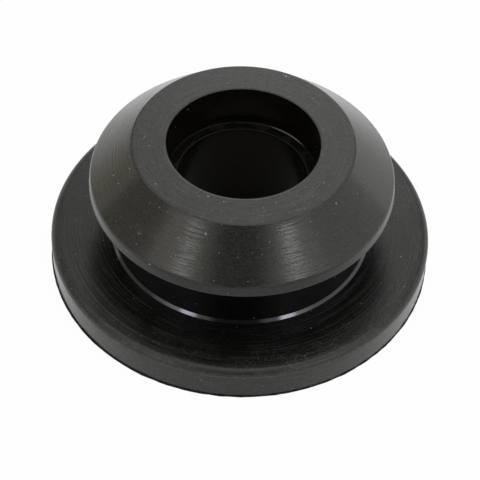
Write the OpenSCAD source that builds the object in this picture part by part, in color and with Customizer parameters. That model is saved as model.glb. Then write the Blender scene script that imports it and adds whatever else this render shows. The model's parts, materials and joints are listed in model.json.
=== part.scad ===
// Rubber grommet with a stepped bore, moulded in one piece.
// The conical head is pushed through a round hole in a panel, the panel's edge sits in the
// groove round the neck, and a tube or stem is held in the bore.
// Millimetres. The axis is Z, and the flange's flat underside lies on z = 0.

/* [Bore] */
// Diameter of the socket that opens in the top of the head
socket_d = 14.8; // [13.5:0.1:18]
// Depth of the socket, from the top of the head down to its floor
socket_depth = 4.5; // [2:0.1:8]
// Diameter of the tube bore, from the socket's floor down through the flange
tube_d = 12.75; // [8:0.05:13.25]

/* [Head] */
// Diameter of the flat ring on top of the head
top_d = 21.5; // [19.5:0.1:26]
// Diameter of the head at its lower edge, where it is widest
head_d = 29.85; // [28:0.05:34]
// Height of the head, from its underside to its top
head_h = 5.1; // [3.5:0.1:8]
// Height of the upright band below the cone
band_h = 1.15; // [0.5:0.05:2.5]
// Draft of the band, in degrees
band_draft = 6; // [0:0.5:10]

/* [Neck] */
// Diameter of the neck, which fills the hole in the panel
neck_d = 25.6; // [21:0.1:27]
// Height of the neck, which is the thickness of panel that the groove takes
neck_h = 6.3; // [2:0.1:10]
// Chamfer in the corner between the neck and the flange
foot_chamfer = 0.25; // [0.05:0.05:0.6]

/* [Flange] */
// Diameter of the flange
flange_d = 38; // [34:0.5:46]
// Thickness of the flange
flange_t = 3.5; // [2:0.1:6]
// Radius of the flange's rounded upper edge
rim_r = 0.7; // [0.2:0.05:1.5]
// How far the trimmed mould flash stands out round the flange's lower edge
flash_w = 0.2; // [0.05:0.05:0.5]
// Thickness of the flash
flash_t = 0.25; // [0.1:0.05:0.5]

/* [Hidden] */
$fn = 96;
head_z = flange_t + neck_h;
top_z = head_z + head_h;
cone_z = head_z + band_h;
cone_d = head_d - 2 * band_h * tan(band_draft);
socket_z = top_z - socket_depth;
// A cutting tool reaches this far past the face that it opens
past = 1;

// Disc with a flat underside, an upright side and a rounded upper edge
module flange() {
    rotate_extrude() {
        square([flange_d / 2 - rim_r, flange_t]);
        square([flange_d / 2, flange_t - rim_r]);
        translate([flange_d / 2 - rim_r, flange_t - rim_r])
            intersection() {
                circle(r = rim_r);
                square(rim_r);
            }
    }
}

// Thin fin left round the lower edge where the mould parts
module flash() {
    cylinder(d = flange_d + 2 * flash_w, h = flash_t);
}

// Neck and the small cone at its foot
module neck() {
    cylinder(d = neck_d, h = head_z + band_h / 2);
    translate([0, 0, flange_t])
        cylinder(d1 = neck_d + 2 * foot_chamfer, d2 = neck_d, h = foot_chamfer);
}

// Drafted band with a lead-in cone above it
module head() {
    translate([0, 0, head_z])
        cylinder(d1 = head_d, d2 = cone_d, h = band_h);
    translate([0, 0, cone_z])
        cylinder(d1 = cone_d, d2 = top_d, h = top_z - cone_z);
}

// Socket in the head and the narrower tube bore below it
module stepped_bore() {
    translate([0, 0, socket_z])
        cylinder(d = socket_d, h = socket_depth + past);
    translate([0, 0, -past])
        cylinder(d = tube_d, h = top_z + 2 * past);
}

module grommet() {
    color([0.1, 0.1, 0.1])
        difference() {
            union() {
                flange();
                flash();
                neck();
                head();
            }
            stepped_bore();
        }
}

grommet();
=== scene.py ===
# A moulded rubber grommet standing on its flange on a white table, seen from above its front.
import json
import math

import bpy
from mathutils import Euler, Matrix, Vector


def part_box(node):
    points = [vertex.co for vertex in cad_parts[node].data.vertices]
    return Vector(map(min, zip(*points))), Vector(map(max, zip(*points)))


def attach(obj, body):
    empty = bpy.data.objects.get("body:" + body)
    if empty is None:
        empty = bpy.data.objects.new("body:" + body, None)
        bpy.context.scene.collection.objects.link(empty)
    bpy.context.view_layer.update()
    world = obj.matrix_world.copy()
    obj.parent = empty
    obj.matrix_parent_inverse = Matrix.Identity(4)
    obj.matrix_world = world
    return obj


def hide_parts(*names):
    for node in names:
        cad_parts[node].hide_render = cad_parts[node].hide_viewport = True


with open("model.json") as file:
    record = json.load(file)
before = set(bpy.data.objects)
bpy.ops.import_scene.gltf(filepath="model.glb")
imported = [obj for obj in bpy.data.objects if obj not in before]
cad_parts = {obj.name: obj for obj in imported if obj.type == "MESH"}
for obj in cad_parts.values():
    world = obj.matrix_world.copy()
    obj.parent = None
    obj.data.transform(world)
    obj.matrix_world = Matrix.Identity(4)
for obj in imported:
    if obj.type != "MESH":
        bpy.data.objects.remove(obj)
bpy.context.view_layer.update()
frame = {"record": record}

MM = 0.001

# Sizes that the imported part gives
mounts = {mount["name"]: mount for mount in frame["record"]["mounts"]}
solid_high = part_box("grommet")[1]
TOP_Z = solid_high[2]
FLASH_R = solid_high[0]
TUBE_R = mounts["tube_bore"]["dims"]["r_mm"] * MM
SOCKET_R = mounts["socket_bore"]["dims"]["r_mm"] * MM
SOCKET_Z = TOP_Z - mounts["socket_bore"]["dims"]["length_mm"] * MM
NECK_R = mounts["panel_groove"]["dims"]["r_mm"] * MM
NECK_H = mounts["panel_groove"]["dims"]["length_mm"] * MM
GROOVE_MID = mounts["panel_groove"]["pos_m"][2]

# The rest of the section
FLANGE_T = GROOVE_MID - NECK_H / 2
HEAD_Z = GROOVE_MID + NECK_H / 2
FLANGE_R = 19 * MM
RIM_R = 0.7 * MM
FLASH_T = 0.1 * MM
FLASH_SHOULDER = 1.15 * FLASH_T
FLASH_ROOT = 0.4 * MM
FOOT = 0.25 * MM
HEAD_R = 14.925 * MM
BAND_H = 1.15 * MM
BAND_DRAFT = math.radians(6)
CONE_Z = HEAD_Z + BAND_H
CONE_R = HEAD_R - BAND_H * math.tan(BAND_DRAFT)
TOP_R = 10.75 * MM
SEGMENTS = 512

# Each rounded edge: its places in the section, the size of its rounding and the number of steps in that
CRISP = 0.06 * MM
ROUNDED_EDGES = [
    ([(FLANGE_R, FLANGE_T)], RIM_R, 8),
    ([(CONE_R, CONE_Z)], 3 * CRISP, 4),
    ([(HEAD_R, HEAD_Z)], CRISP, 3),
    ([(TOP_R, TOP_Z)], 0.25 * CRISP, 2),
    ([(SOCKET_R, TOP_Z), (TUBE_R, SOCKET_Z)], 0.5 * CRISP, 2),
    ([(SOCKET_R, SOCKET_Z)], 1.5 * CRISP, 4),
]

# How near the end of a long face its extra point lies, past any rounding
HOLD = 0.25 * MM

# Reach of the mould flash, which stays inside the part's box, and the depth of its tears. It was trimmed closest in one
# direction, and on the far side the tears have that share of their depth.
FLASH_OUT = FLASH_R - 0.04 * MM
FLASH_TEAR = 0.14 * MM
TEAR_SIZE = 0.9 * MM
TRIMMED = math.radians(-25)
FAR_SHARE = 0.42

# The studio, seen from the object: azimuth (0 on the camera's side, positive to the right), elevation, half width and
# half height in degrees, radiance, and colour. The room is white; the softboxes add to it and the cards darken it.
NEUTRAL = (1.0, 1.0, 1.0)
WARM = (1.05, 1.0, 0.82)
AMBER = (1.08, 1.0, 0.78)
COOL = (1.0, 1.0, 1.08)
STUDIO_DISTANCE = 0.6
CARD_DISTANCE = 1.1 * STUDIO_DISTANCE
CARD_BORDER = 1.15
SOFTBOXES = {
    "key_right": (50, 35.5, 11, 5, 1.05, NEUTRAL),
    "key_right_core": (41, 36, 5, 3, 6.4, COOL),
    "key_left": (-51, 35.5, 11, 5, 1.05, NEUTRAL),
    "key_left_core": (-39, 36, 5, 3, 5.0, COOL),
    "behind": (176, 38, 9, 10, 1.1, NEUTRAL),
    "low_right": (128, 9, 15, 7, 0.35, NEUTRAL),
    "above": (180, 70, 34, 10, 0.5, NEUTRAL),
}
CARDS = {
    "card_front": (0, 36, 19, 34, 0.08, COOL),
    "card_left_front": (-42, 24, 20, 24, 0.7, WARM),
    "card_left": (-90, 24, 23, 24, 0.38, WARM),
    "card_right_front": (42, 24, 20, 24, 0.7, NEUTRAL),
    "card_right": (90, 24, 23, 24, 0.9, NEUTRAL),
    "card_back_right": (140, 42, 22, 17, 0.28, NEUTRAL),
    "card_back_left": (-139, 46, 22, 14, 0.12, WARM),
    "card_low_left": (-123, 12, 16, 12, 0.67, AMBER),
}

# The camera that fits the photograph: place, tilt downwards, turn to the side, turn about the line of sight, and lens
CAMERA_PLACE = (0, -105.374 * MM, 119.331 * MM)
CAMERA_PITCH = math.radians(48.351)
CAMERA_YAW = math.radians(0.0167)
CAMERA_ROLL = math.radians(2.2319)
CAMERA_LENS = 116.48


class Wire:
    """An output socket that can stand in a sum, each of which adds a Math node."""

    def __init__(self, tree, socket):
        self.tree = tree
        self.socket = socket

    def math(self, operation, *values):
        return self.tree.add("ShaderNodeMath", {"operation": operation}, dict(enumerate(values)))

    def __add__(self, other):
        return self.math("ADD", self, other)

    def __radd__(self, other):
        return self.math("ADD", other, self)

    def __sub__(self, other):
        return self.math("SUBTRACT", self, other)

    def __rsub__(self, other):
        return self.math("SUBTRACT", other, self)

    def __mul__(self, other):
        return self.math("MULTIPLY", self, other)

    def __rmul__(self, other):
        return self.math("MULTIPLY", other, self)

    def __truediv__(self, other):
        return self.math("DIVIDE", self, other)

    def __rtruediv__(self, other):
        return self.math("DIVIDE", other, self)

    def __abs__(self):
        return self.math("ABSOLUTE", self)


class Tree:
    """A node tree that is written as expressions."""

    def __init__(self, owner):
        owner.use_nodes = True
        self.nodes = owner.node_tree.nodes
        self.links = owner.node_tree.links
        self.nodes.clear()

    def add(self, kind, settings=None, inputs=None, output=0):
        """A new node: its settings are set first, then the values or wires of its inputs."""
        node = self.nodes.new(kind)
        for name, value in (settings or {}).items():
            setattr(node, name, value)
        for name, value in (inputs or {}).items():
            socket = self.find(node.inputs, name)
            if isinstance(value, Wire):
                self.links.new(value.socket, socket)
            else:
                socket.default_value = value
        return Wire(self, self.find(node.outputs, output)) if node.outputs else node

    def find(self, sockets, name):
        """The socket of that number, or the one of that name that is in use."""
        if isinstance(name, int):
            return sockets[name]
        return next(socket for socket in sockets if socket.name == name and socket.enabled)

    def step(self, value, start, end):
        """0 at start and 1 at end, smooth between them."""
        settings = {"interpolation_type": "SMOOTHSTEP"}
        return self.add("ShaderNodeMapRange", settings, {"Value": value, "From Min": start, "From Max": end})

    def near(self, value, centre, start, end):
        """1 where the value is within start of the centre, and 0 where it is further from it than end."""
        return 1 - self.step(abs(value - centre), start, end)

    def blend(self, factor, first, second):
        """A mix of two colours."""
        inputs = {"Factor": factor, "A": first, "B": second}
        return self.add("ShaderNodeMix", {"data_type": "RGBA"}, inputs, "Result")

    def vector(self, operation, first, second=(0, 0, 0), output=0):
        return self.add("ShaderNodeVectorMath", {"operation": operation}, {0: first, 1: second}, output)

    def noise(self, place, scale, detail=2.0, roughness=0.5):
        inputs = {"Vector": place, "Scale": scale, "Detail": detail, "Roughness": roughness}
        return self.add("ShaderNodeTexNoise", {}, inputs, 0)


def tone(level, tint=(1, 1, 1)):
    """A grey of that level, tinted."""
    return (level * tint[0], level * tint[1], level * tint[2], 1)


# Modelling

def edit(piece):
    """Opens one object for editing, with nothing else selected."""
    bpy.ops.object.select_all(action="DESELECT")
    piece.select_set(True)
    bpy.context.view_layer.objects.active = piece
    bpy.ops.object.mode_set(mode="EDIT")


def select_ring(piece, places):
    """Selects the edges that run round the axis at each (radius, height)."""
    bpy.ops.mesh.select_all(action="DESELECT")
    bpy.ops.object.mode_set(mode="OBJECT")
    near = 0.002 * MM
    points = piece.data.vertices

    def on(vertex, radius, height):
        x, y, z = vertex.co
        return abs(math.hypot(x, y) - radius) < near and abs(z - height) < near

    for edge in piece.data.edges:
        ends = [points[index] for index in edge.vertices]
        edge.select = any(all(on(end, *place) for end in ends) for place in places)
    bpy.ops.object.mode_set(mode="EDIT")


def section():
    """The points of the grommet's section, from the tube bore's lower edge outwards and over the top."""
    underside = [(TUBE_R, 0), (FLANGE_R - FLASH_ROOT, 0)]
    flash = [(FLASH_OUT, 0), (FLASH_OUT, FLASH_T), (FLANGE_R, FLASH_SHOULDER)]
    flange = [(FLANGE_R, FLANGE_T), (NECK_R + FOOT, FLANGE_T)]
    neck = [(NECK_R, FLANGE_T + FOOT), (NECK_R, HEAD_Z)]
    head = [(HEAD_R, HEAD_Z), (CONE_R, CONE_Z), (TOP_R, TOP_Z)]
    bore = [(SOCKET_R, TOP_Z), (SOCKET_R, SOCKET_Z), (TUBE_R, SOCKET_Z)]
    return underside + flash + flange + neck + head + bore


def held(points):
    """The same section with a point near each end of its longer faces, which keeps them flat beside a rounded edge."""
    kept = []
    for start, end in zip(points, points[1:] + points[:1]):
        length = math.dist(start, end)
        kept.append(start)
        if length > 1 * MM:
            near = HOLD + (RIM_R if start == (FLANGE_R, FLANGE_T) else 0)
            far = HOLD + (RIM_R if end == (FLANGE_R, FLANGE_T) else 0)
            for share in (near / length, 1 - far / length):
                kept.append(tuple(a + (b - a) * share for a, b in zip(start, end)))
    return kept


def turned(name, points):
    """A closed ring-shaped piece: a circle is drawn out from point to point of a section, and back to the start."""
    radius, height = points[0]
    bpy.ops.object.select_all(action="DESELECT")
    bpy.ops.mesh.primitive_circle_add(vertices=SEGMENTS, radius=radius, location=(0, 0, 0))
    piece = bpy.context.object
    piece.name = name
    edit(piece)
    for next_radius, next_height in points[1:] + points[:1]:
        rise = {"value": (0, 0, next_height - height)}
        bpy.ops.mesh.extrude_edges_move(TRANSFORM_OT_translate=rise)
        ratio = next_radius / radius
        bpy.ops.transform.resize(value=(ratio, ratio, 1), center_override=(0, 0, 0))
        radius, height = next_radius, next_height
    bpy.ops.mesh.select_all(action="SELECT")
    bpy.ops.mesh.remove_doubles(threshold=0.001 * MM)
    bpy.ops.mesh.normals_make_consistent(inside=False)
    return piece


def tear_flash(piece):
    """Pulls the flash's edge in by an uneven amount, as a mould line that was trimmed by hand, and most of all on the
    side on which it was trimmed closest."""
    edge = piece.vertex_groups.new(name="flash_edge")
    for vertex in piece.data.vertices:
        x, y = vertex.co.xy
        if math.hypot(x, y) > FLASH_OUT - 0.01 * MM:
            facing = max(0.0, math.cos(math.atan2(y, x) - TRIMMED))
            edge.add([vertex.index], FAR_SHARE + (1 - FAR_SHARE) * facing * facing, "REPLACE")
    tears = bpy.data.textures.new("flash_tears", "CLOUDS")
    tears.noise_scale = TEAR_SIZE
    tears.noise_depth = 1
    tears.contrast = 1.3
    displace = piece.modifiers.new("tear", "DISPLACE")
    displace.texture = tears
    displace.texture_coords = "LOCAL"
    displace.vertex_group = "flash_edge"
    displace.mid_level = 1.25
    displace.strength = FLASH_TEAR
    bpy.ops.object.modifier_apply(modifier="tear")
    piece.vertex_groups.clear()


def make_grommet():
    piece = turned("grommet_rubber", held(section()))
    for places, size, steps in ROUNDED_EDGES:
        select_ring(piece, places)
        bpy.ops.mesh.bevel(offset=size, segments=steps, affect="EDGES", profile=0.5)
    bpy.ops.object.mode_set(mode="OBJECT")
    tear_flash(piece)
    bpy.ops.object.shade_smooth_by_angle(angle=math.radians(35))
    return piece


# Materials

# Sizes of the patterns on the rubber
SKIN_SIZE = 0.2 * MM
CLOUD_SIZE = 3.0 * MM
SMUDGE_SIZE = 0.6 * MM
BLOOM_SIZE = 0.19 * MM
SCUFF_SIZE = 1.6 * MM
DUST_PITCH = 0.55 * MM
DUST_SIZE = 0.07 * MM
DUST_H = 0.008 * MM

# Marks that the photographed grommet carries: place, radius in millimetres, and brightness
SPECKS = {
    "top_skin": [(3.97, 9.55, 14.9, 0.08, 0.5), (4.25, 9.4, 14.9, 0.05, 0.3), (3.75, 9.7, 14.9, 0.05, 0.3),
                 (-8.94, -0.99, 14.9, 0.1, 0.13), (-9.42, 0.23, 14.9, 0.05, 0.3), (-8.01, -5.93, 14.9, 0.12, 0.16),
                 (-3.07, -7.26, 14.9, 0.09, 0.3), (-1.61, -7.86, 14.9, 0.08, 0.25), (-1.35, -7.92, 14.9, 0.06, 0.2),
                 (2.04, -8.45, 14.9, 0.06, 0.3)],
    # The cone's first two marks are painted light on the crater: a painted highlight on its lower edge and painted
    # shade above
    "cone_skin": [(-9.32, -9.72, 12.25, 0.18, 0.12), (-9.27, -9.67, 12.32, 0.15, 0.003),
                  (-10.59, -3.7, 14.45, 0.08, 0.3), (-10.68, -2.34, 14.72, 0.1, 0.12), (-7.5, -8.4, 14.4, 0.06, 0.3),
                  (-11.17, -7.71, 12.15, 0.1, 0.06), (-3.1, -11.16, 14.09, 0.09, 0.35),
                  (-1.82, -12.51, 13.06, 0.1, 0.1), (1.2, -12.46, 13.18, 0.1, 0.07), (2.1, -12.5, 13.03, 0.05, 0.3),
                  (1.63, -11.43, 14.12, 0.08, 0.08), (8.8, -7.05, 14.39, 0.11, 0.22), (11.8, -7.83, 11.58, 0.07, 0.12)],
    "band_skin": [(-8.2, -12.34, 10.85, 0.11, 0.25)],
    "flange_skin": [(0.03, -13.46, 3.5, 0.06, 0.1), (13.93, -7.28, 3.5, 0.08, 0.12), (16.22, -7.59, 3.5, 0.09, 0.16),
                    (-13.57, -3.13, 3.5, 0.07, 0.2), (-15.05, -1.14, 3.5, 0.08, 0.08), (-14.69, -2.47, 3.5, 0.08, 0.06),
                    (16.04, -3.73, 3.5, 0.07, 0.3), (15.06, -7.51, 3.5, 0.08, 0.1), (14.52, -9.96, 3.5, 0.1, 0.09),
                    (-16.33, -5.17, 3.5, 0.06, 0.13), (-15.24, -10.45, 3.5, 0.06, 0.16)],
    "rim_skin": [(-12.9, -13.97, 2.8, 0.1, 0.3), (-1.85, -18.76, 2.95, 0.07, 0.2), (13.7, -13.1, 3.1, 0.06, 0.15),
                 (3.31, -18.55, 2.95, 0.12, 0.13)],
}

# Centre and radius in millimetres of the small crater in the cone, and of the place in the socket's corner that holds a
# painted highlight
CRATER = ((-9.3, -9.7, 12.28), 0.24)
CRATER_DEPTH = 0.25 * MM
PAINTED_GLINT_SPOT = ((4.56, 5.83, 10.4), 2.1)

# Place and size of the mould's seam on the rim, and the direction in which most dust lies on the flange
SEAM_Z = 3.07 * MM
SEAM_DEPTH = 0.03 * MM
SEAM_BREAKS = 1.1 * MM
DUSTY_SIDE = (0.766, -0.643, 0)

RUBBER_TINT = (1.03, 1.0, 0.82)
DUST_TINT = (1.0, 0.97, 0.88)
LINE_TINT = (1.0, 1.0, 0.94)


def turning_marks(tree, around, radius, height, pitch, reach):
    """Noise that is drawn out round the axis, as the marks that turning left in the mould."""
    across = tree.add("ShaderNodeCombineXYZ", {}, {"Z": (radius - height) / (pitch * MM)})
    along = tree.vector("MULTIPLY", around, (reach, reach, 0))
    return tree.noise(tree.vector("ADD", along, across), 1.0, 2.5, 0.6)


def dust(tree, place, pitch, share, largest):
    """Specks at random places, few of them bright: pitch is the size of the cells that may hold one, and share the part
    that does."""
    cells = {"Vector": place, "Scale": 1 / pitch, "Randomness": 1.0}
    distance = tree.add("ShaderNodeTexVoronoi", {}, cells, "Distance")
    draw = tree.add("ShaderNodeTexVoronoi", {}, cells, "Color")
    bulk, light = (tree.add("ShaderNodeSeparateColor", {}, {"Color": draw}, part) for part in ("Red", "Green"))
    size = largest / pitch * (0.45 + 0.55 * bulk)
    grains = (1 - tree.step(distance / size, 0.5, 1.1)) * tree.step(bulk, 1 - share, 1.02 - share)
    return grains * (0.08 + 0.92 * light * light * light)


def spot(tree, place, centre, radius):
    """1 inside a small ball round the centre and 0 outside; both in millimetres."""
    offset = tree.vector("SUBTRACT", place, [value * MM for value in centre])
    distance = tree.vector("LENGTH", offset, output="Value")
    return 1 - tree.step(distance / (radius * MM), 0.4, 1.2)


def ledge_scuffs_and_glints(tree, colour, place, radius, height):
    """Adds the flat floor of the socket: its scuffs, a painted highlight along its inner edge, and a painted highlight
    in one place of its corner.
    """
    floor = tree.near(height, SOCKET_Z, 0.05 * MM, 0.12 * MM)
    scuffs = tree.step(tree.noise(place, 1 / SCUFF_SIZE), 0.46, 0.62)
    # Pale line along the inner edge: a painted highlight of its small rounding
    inner_edge_glint = 1 - tree.step(radius, TUBE_R + 0.04 * MM, TUBE_R + 0.1 * MM)
    # A bright arc in part of the outer corner: a painted highlight, where a lamp glints in the corner's fillet
    corner_glint = tree.step(radius, SOCKET_R - 0.11 * MM, SOCKET_R - 0.06 * MM) * spot(tree, place, *PAINTED_GLINT_SPOT)
    colour = tree.blend(floor, colour, tone(0.005, RUBBER_TINT))
    colour = tree.blend(floor * scuffs, colour, tone(0.014, DUST_TINT))
    colour = tree.blend(floor * inner_edge_glint, colour, tone(0.021, DUST_TINT))
    return tree.blend(floor * corner_glint, colour, tone(0.2))


def mould_seam(tree, colour, relief, place, height):
    """Adds the dark, broken line that the mould left round the rim, with crumbs of dust along it."""
    breaks = tree.step(tree.noise(place, 1 / SEAM_BREAKS), 0.4, 0.55)
    seam = breaks * tree.near(height, SEAM_Z, 0.02 * MM, 0.07 * MM)
    crumbs = dust(tree, place, 0.4 * MM, 0.7, 0.06 * MM) * tree.near(height, SEAM_Z, 0.08 * MM, 0.16 * MM)
    colour = tree.blend(0.9 * seam, colour, tone(0.001))
    colour = tree.blend(crumbs, colour, tone(0.4, DUST_TINT))
    return colour, relief - SEAM_DEPTH * seam


def rubber(name, base, roughness, marks=0.0, pitch=0.5, reach=4.0, lines=0.0, grain=0.0, mottle=0.3, specks=1.0,
           gloss=0.5, coat=0.0, sheen=0.0, streak=0.06, haze=0.0, bloom=0.0, tint=RUBBER_TINT, shine=(1.0, 1.0, 1.0)):
    """Black rubber. Marks and grain are the depths of the turning marks and of the skin, and pitch the marks' spacing,
    in millimetres. Reach is how often a mark breaks off round the part, lines how pale the sharpest marks are, haze how
    pale the smudges of dust, and bloom how pale the fine dots that the rubber sweats out. Mottle is how far the base
    colour varies, streak how far the marks change the roughness, and specks how much dust there is. Tint colours the
    rubber, and shine its gloss."""
    material = bpy.data.materials.new(name)
    tree = Tree(material)
    place = tree.add("ShaderNodeTexCoord", output="Object")
    flat = tree.vector("MULTIPLY", place, (1, 1, 0))
    around = tree.vector("NORMALIZE", flat)
    radius = tree.vector("LENGTH", flat, output="Value")
    height = tree.vector("DOT_PRODUCT", place, (0, 0, 1), output="Value")
    rings = turning_marks(tree, around, radius, height, pitch, reach)
    skin = tree.noise(place, 1 / SKIN_SIZE, 3.0, 0.7)
    cloud = tree.noise(place, 1 / CLOUD_SIZE, 2.0, 0.5)
    patches = tree.step(skin, 0.42, 0.58)
    grains = dust(tree, place, DUST_PITCH, 0.8 * specks, DUST_SIZE)
    colour = tree.blend(patches, tone((1 - mottle) * base, tint), tone((1 + mottle) * base, tint))
    colour = tree.blend(0.5 * cloud, colour, tone(0.6 * base, tint))
    sharp = tree.step(rings, 0.56, 0.66) * tree.step(cloud, 0.25, 0.55)
    colour = tree.blend(sharp, colour, tone(max(lines, base), LINE_TINT if lines else tint))
    outer = 1.0
    if name == "flange_skin":
        dusty = tree.vector("DOT_PRODUCT", around, DUSTY_SIDE, output="Value")
        outer = tree.step(radius, FLANGE_R - 4 * MM, FLANGE_R - 1.5 * MM) * tree.step(dusty, -0.6, 0.9)
    if haze:
        smudges = outer * tree.step(tree.noise(place, 1 / SMUDGE_SIZE, 4.0, 0.65), 0.44, 0.7)
        colour = tree.blend(smudges, colour, tone(haze, DUST_TINT))
    if bloom:
        dots = tree.step(tree.noise(place, 1 / BLOOM_SIZE, 2.0, 0.6), 0.54, 0.76) * tree.step(cloud, 0.3, 0.6)
        colour = tree.blend(outer * dots, colour, tone(bloom, DUST_TINT))
    colour = tree.blend(grains, colour, tone(0.35, DUST_TINT))
    for x, y, z, size, level in SPECKS.get(name, []):
        colour = tree.blend(spot(tree, place, (x, y, z), size), colour, tone(level, DUST_TINT))
    rough = roughness + 0.08 * (cloud - 0.5) + 0.06 * (skin - 0.5) + streak * (rings - 0.5) + 0.3 * grains
    relief = marks * MM * rings + grain * MM * skin + DUST_H * grains
    if name == "cone_skin":
        relief = relief - CRATER_DEPTH * spot(tree, place, *CRATER)
    if name == "bore_skin":
        colour = ledge_scuffs_and_glints(tree, colour, place, radius, height)
    if name == "rim_skin":
        colour, relief = mould_seam(tree, colour, relief, place, height)
    normal = tree.add("ShaderNodeBump", {}, {"Height": relief, "Distance": 1.0, "Strength": 1.0})
    inputs = {"Base Color": colour, "Roughness": rough, "Normal": normal, "IOR": 1.52}
    inputs.update({"Specular IOR Level": gloss, "Specular Tint": tone(1.0, shine)})
    inputs.update({"Coat Weight": coat, "Coat Roughness": 0.14, "Sheen Weight": sheen, "Sheen Roughness": 0.3})
    surface = tree.add("ShaderNodeBsdfPrincipled", {}, inputs)
    tree.add("ShaderNodeOutputMaterial", {}, {"Surface": surface})
    return material


# The finish of each kind of face
# Base levels were set face by face to each place's brightness: the darker neck, chamfer and bore bases are partly
# painted shade
FINISHES = {
    "top_skin": {"base": 0.008, "roughness": 0.3, "marks": 0.012, "pitch": 0.22, "reach": 2.0, "lines": 0.032,
                 "grain": 0.01, "mottle": 0.9, "haze": 0.018, "bloom": 0.07, "tint": (1.03, 1.0, 0.84),
                 "shine": (1.01, 1.0, 0.965)},
    "cone_skin": {"base": 0.022, "roughness": 0.2, "marks": 0.03, "pitch": 0.31, "reach": 2.0, "grain": 0.002,
                  "mottle": 0.35, "streak": 0.11, "gloss": 0.46, "bloom": 0.04, "tint": (1.02, 1.0, 0.9),
                  "shine": (1.0, 1.0, 0.95)},
    "band_skin": {"base": 0.002, "roughness": 0.24, "marks": 0.002, "grain": 0.002, "gloss": 0.34, "sheen": 0.5,
                  "bloom": 0.02, "shine": (1.01, 1.0, 0.95)},
    "smooth_skin": {"base": 0.002, "roughness": 0.15, "grain": 0.0005, "specks": 0.3, "shine": (0.97, 0.97, 1.11)},
    "chamfer_skin": {"base": 0.001, "roughness": 0.11, "grain": 0.001, "specks": 0.2, "gloss": 0.48, "coat": 0.55,
                     "shine": (0.97, 0.97, 1.1)},
    "flange_skin": {"base": 0.0035, "roughness": 0.27, "marks": 0.017, "pitch": 0.1, "reach": 1.0, "lines": 0.033,
                    "grain": 0.003, "mottle": 0.7, "streak": 0.13, "haze": 0.006, "bloom": 0.08,
                    "tint": (1.08, 1.0, 0.8), "shine": (1.0, 1.0, 0.98)},
    "rim_skin": {"base": 0.009, "roughness": 0.38, "marks": 0.002, "grain": 0.01, "mottle": 0.9, "haze": 0.022,
                 "bloom": 0.08, "tint": (1.06, 1.0, 0.78), "shine": (1.0, 1.0, 0.945)},
    "wall_skin": {"base": 0.006, "roughness": 0.22, "marks": 0.002, "grain": 0.008, "gloss": 0.26, "mottle": 0.9,
                  "haze": 0.02, "bloom": 0.05, "shine": (1.02, 1.0, 0.94)},
    "bore_skin": {"base": 0.0045, "roughness": 0.24, "marks": 0.004, "grain": 0.003, "specks": 0.15, "gloss": 0.14,
                  "mottle": 0.6, "tint": (1.25, 1.0, 0.7), "shine": (1.05, 1.0, 0.84)},
    "torn_edge": {"base": 0.004, "roughness": 0.8, "grain": 0.02, "specks": 0.0, "tint": (1.5, 1.0, 0.5)},
}


def finish_at(radius, height):
    """The name of the finish of the surface at that place of the section."""
    if height < FLASH_SHOULDER and radius > FLANGE_R - 0.01 * MM:
        return "torn_edge"
    if radius < SOCKET_R - 0.02 * MM or (radius < SOCKET_R + 0.01 * MM and height < TOP_Z - 0.1 * MM):
        return "bore_skin"
    if height > TOP_Z - 0.03 * MM:
        return "top_skin"
    if height > CONE_Z + 0.02 * MM:
        return "cone_skin"
    if height > HEAD_Z - 0.01 * MM:
        return "band_skin"
    if height > FLANGE_T + FOOT:
        return "smooth_skin"
    if radius < NECK_R + FOOT and height > FLANGE_T:
        return "chamfer_skin"
    if height < FLANGE_T - RIM_R:
        return "wall_skin"
    if radius > FLANGE_R - RIM_R:
        return "rim_skin"
    return "flange_skin"


def paint(piece):
    """Gives each face the finish of its place."""
    names = list(FINISHES)
    for name in names:
        piece.data.materials.append(rubber(name, **FINISHES[name]))
    for face in piece.data.polygons:
        x, y, z = face.center
        face.material_index = names.index(finish_at(math.hypot(x, y), z))


# Surroundings

def direction(azimuth, elevation):
    """Unit vector from the object: azimuth 0 is towards the viewer's side, and positive to the right."""
    a, e = math.radians(azimuth), math.radians(elevation)
    return Vector((math.sin(a) * math.cos(e), -math.cos(a) * math.cos(e), math.sin(e)))


def make_world():
    """An even white room."""
    world = bpy.data.worlds.new("white_room")
    bpy.context.scene.world = world
    tree = Tree(world)
    background = tree.add("ShaderNodeBackground", {}, {"Color": tone(1.0), "Strength": 1.0})
    tree.add("ShaderNodeOutputWorld", {}, {"Surface": background})


# Share of the table's white that is its own
OWN_WHITE = 0.97


def make_floor():
    """White table. Most of its white is its own, so the grommet's shadow on it stays faint. The part of it that shows
    through the bore has only the light that reaches it."""
    bpy.ops.object.select_all(action="DESELECT")
    bpy.ops.mesh.primitive_plane_add(size=3.0, location=(0, 0, 0))
    floor = bpy.context.object
    floor.name = "table_top"
    material = bpy.data.materials.new("white_table")
    tree = Tree(material)
    rays = ("Is Camera Ray", "Is Glossy Ray", "Is Transmission Ray")
    seen, mirrored, through = (tree.add("ShaderNodeLightPath", output=ray) for ray in rays)
    place = tree.add("ShaderNodeTexCoord", output="Object")
    outside = tree.step(tree.vector("LENGTH", place, output="Value"), TUBE_R, TUBE_R + 1 * MM)
    paper = tree.add("ShaderNodeBsdfDiffuse", {}, {"Color": tone(0.9)})
    white = tree.add("ShaderNodeEmission", {}, {"Color": tone(1.0), "Strength": 1.0})
    share = OWN_WHITE * outside * (seen + mirrored + through)
    surface = tree.add("ShaderNodeMixShader", {}, {0: share, 1: paper, 2: white})
    tree.add("ShaderNodeOutputMaterial", {}, {"Surface": surface})
    floor.data.materials.append(material)


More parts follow.
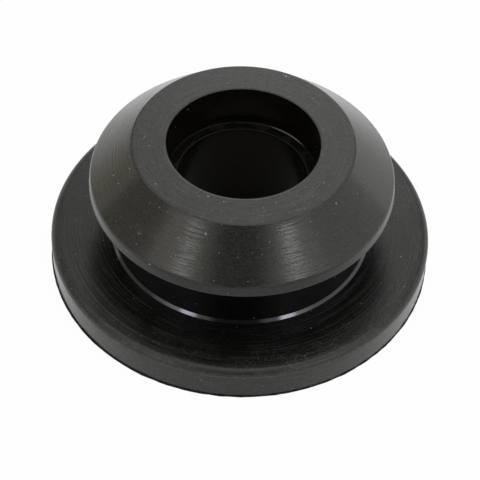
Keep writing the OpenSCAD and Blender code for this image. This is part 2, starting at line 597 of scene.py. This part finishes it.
def make_softbox(name, azimuth, elevation, half_width, half_height, level, tint):
    """A soft rectangular lamp that faces the object."""
    lamp = bpy.data.lights.new(name, "AREA")
    lamp.shape = "RECTANGLE"
    lamp.size = 2 * STUDIO_DISTANCE * math.tan(math.radians(half_width))
    lamp.size_y = 2 * STUDIO_DISTANCE * math.tan(math.radians(half_height))
    lamp.energy = level * math.pi * lamp.size * lamp.size_y
    lamp.color = tint
    holder = bpy.data.objects.new(name, lamp)
    bpy.context.scene.collection.objects.link(holder)
    outward = direction(azimuth, elevation)
    holder.location = outward * STUDIO_DISTANCE
    holder.rotation_euler = outward.to_track_quat("Z", "Y").to_euler()


def make_card(name, azimuth, elevation, half_width, half_height, level, tint):
    """A glowing grey card whose borders fade to white, a little behind the softboxes, that the camera doesn't see."""
    bpy.ops.object.select_all(action="DESELECT")
    outward = direction(azimuth, elevation)
    turn = outward.to_track_quat("Z", "Y").to_euler()
    bpy.ops.mesh.primitive_plane_add(size=1.0, location=outward * CARD_DISTANCE, rotation=turn)
    card = bpy.context.object
    card.name = name
    halves = [CARD_BORDER * CARD_DISTANCE * math.tan(math.radians(half)) for half in (half_width, half_height)]
    card.scale = (2 * halves[0], 2 * halves[1], 1)
    card.visible_camera = False
    material = bpy.data.materials.new(name)
    tree = Tree(material)
    across = tree.vector("ABSOLUTE", tree.add("ShaderNodeTexCoord", output="Object"))
    side, rise = (tree.add("ShaderNodeSeparateXYZ", {}, {"Vector": across}, axis) for axis in "XY")
    sides = side.math("MAXIMUM", side, rise)
    colour = tree.blend(tree.step(sides, 0.28, 0.5), tone(level, tint), tone(1.0))
    glow = tree.add("ShaderNodeEmission", {}, {"Color": colour, "Strength": 1.0})
    tree.add("ShaderNodeOutputMaterial", {}, {"Surface": glow})
    card.data.materials.append(material)


def make_camera():
    """The photograph's view: from above the front, turned a little about the line of sight."""
    camera = bpy.data.cameras.new("camera")
    camera.sensor_width = 36
    camera.lens = CAMERA_LENS
    holder = bpy.data.objects.new("camera", camera)
    bpy.context.scene.collection.objects.link(holder)
    bpy.context.scene.camera = holder
    aim = Euler((math.pi / 2 - CAMERA_PITCH, 0, -CAMERA_YAW)).to_matrix() @ Matrix.Rotation(CAMERA_ROLL, 3, "Z")
    holder.rotation_euler = aim.to_euler()
    holder.location = CAMERA_PLACE


make_camera()
make_world()
make_floor()
for name, values in SOFTBOXES.items():
    make_softbox(name, *values)
for name, values in CARDS.items():
    make_card(name, *values)

grommet = make_grommet()
paint(grommet)
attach(grommet, "root")
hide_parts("grommet")

bpy.context.scene.view_settings.view_transform = "Standard"
